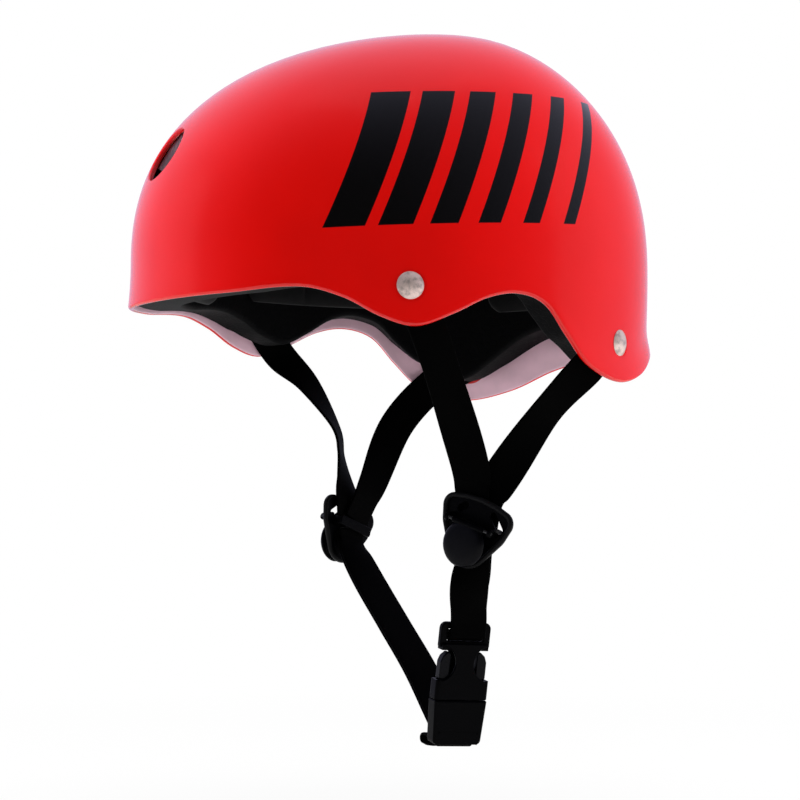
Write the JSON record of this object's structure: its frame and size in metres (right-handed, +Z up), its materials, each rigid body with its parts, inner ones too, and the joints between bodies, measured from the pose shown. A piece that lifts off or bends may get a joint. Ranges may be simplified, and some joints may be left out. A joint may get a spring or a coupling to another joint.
{
  "type": "skate helmet",
  "caption": "Hard-shell skate helmet with a foam liner, comfort pads, riveted side straps with locking dividers, and a chin strap with a side-release buckle.",
  "frame": {"origin": "the head mount: on the vertical axis of the wearer's head, at the level where the shell is widest", "axes": "front of the helmet towards -Y, the wearer's left towards +X, +Z up through the crown"},
  "size_m": [0.213, 0.2809, 0.3654],
  "materials": {
    "shell": "gloss",
    "liner": "matte",
    "pad_cloth": "matte",
    "hook_tape": "matte",
    "webbing": "satin",
    "rivet_steel": "satin",
    "strap_plastic": "satin",
    "cap_plastic": "satin"
  },
  "bodies": {
    "helmet": {"outer_shell": "shell", "foam_liner": "liner", "front_pad": "pad_cloth", "rear_pad": "pad_cloth", "left_pad": "pad_cloth", "right_pad": "pad_cloth", "crown_pad": "pad_cloth", "hook_patches": "hook_tape", "strap_rivets": "rivet_steel", "rivet_washers": "rivet_steel", "left_front_strap": "webbing", "left_rear_strap": "webbing", "right_front_strap": "webbing", "right_rear_strap": "webbing", "left_divider": "strap_plastic", "left_divider_pin": "rivet_steel", "right_divider": "strap_plastic", "right_divider_pin": "rivet_steel", "left_chin_strap": "webbing", "right_chin_strap": "webbing", "buckle_socket": "strap_plastic"},
    "left_lock": {"left_divider_cap": "cap_plastic"},
    "right_lock": {"right_divider_cap": "cap_plastic"},
    "plug": {"buckle_plug": "strap_plastic", "plug_strap_loop": "webbing"},
    "front_prong": {"front_prong": "strap_plastic"},
    "rear_prong": {"rear_prong": "strap_plastic"}
  },
  "joints": [
    {"name": "left_lock_flip", "type": "hinge", "parent": "helmet", "child": "left_lock", "pos_m": [0.08096, -0.00307, -0.13339], "axis": [-0.7969, -0.498, 0.342], "range_deg": [0, 80]},
    {"name": "right_lock_flip", "type": "hinge", "parent": "helmet", "child": "right_lock", "pos_m": [-0.08363, -0.00007, -0.13177], "axis": [-0.3868, 0.8688, -0.309], "range_deg": [0, 80]},
    {"name": "plug_release", "type": "slide", "parent": "helmet", "child": "plug", "axis": [-0.1477, -0.0436, -0.9881], "range_m": [0, 0.03]},
    {"name": "rear_prong_squeeze", "type": "hinge", "parent": "plug", "child": "rear_prong", "pos_m": [0.05507, 0.01341, -0.22169], "axis": [0.989, 0, -0.1478], "range_deg": [0, 7], "stiffness_Nm_per_rad": 0.4},
    {"name": "front_prong_squeeze", "type": "hinge", "parent": "plug", "child": "front_prong", "pos_m": [0.0552, -0.00577, -0.22086], "axis": [-0.989, 0, 0.1478], "range_deg": [0, 7], "stiffness_Nm_per_rad": 0.4}
  ],
  "couplings": [
    {"joint": "front_prong_squeeze", "follows": "rear_prong_squeeze", "ratio": 1}
  ]
}
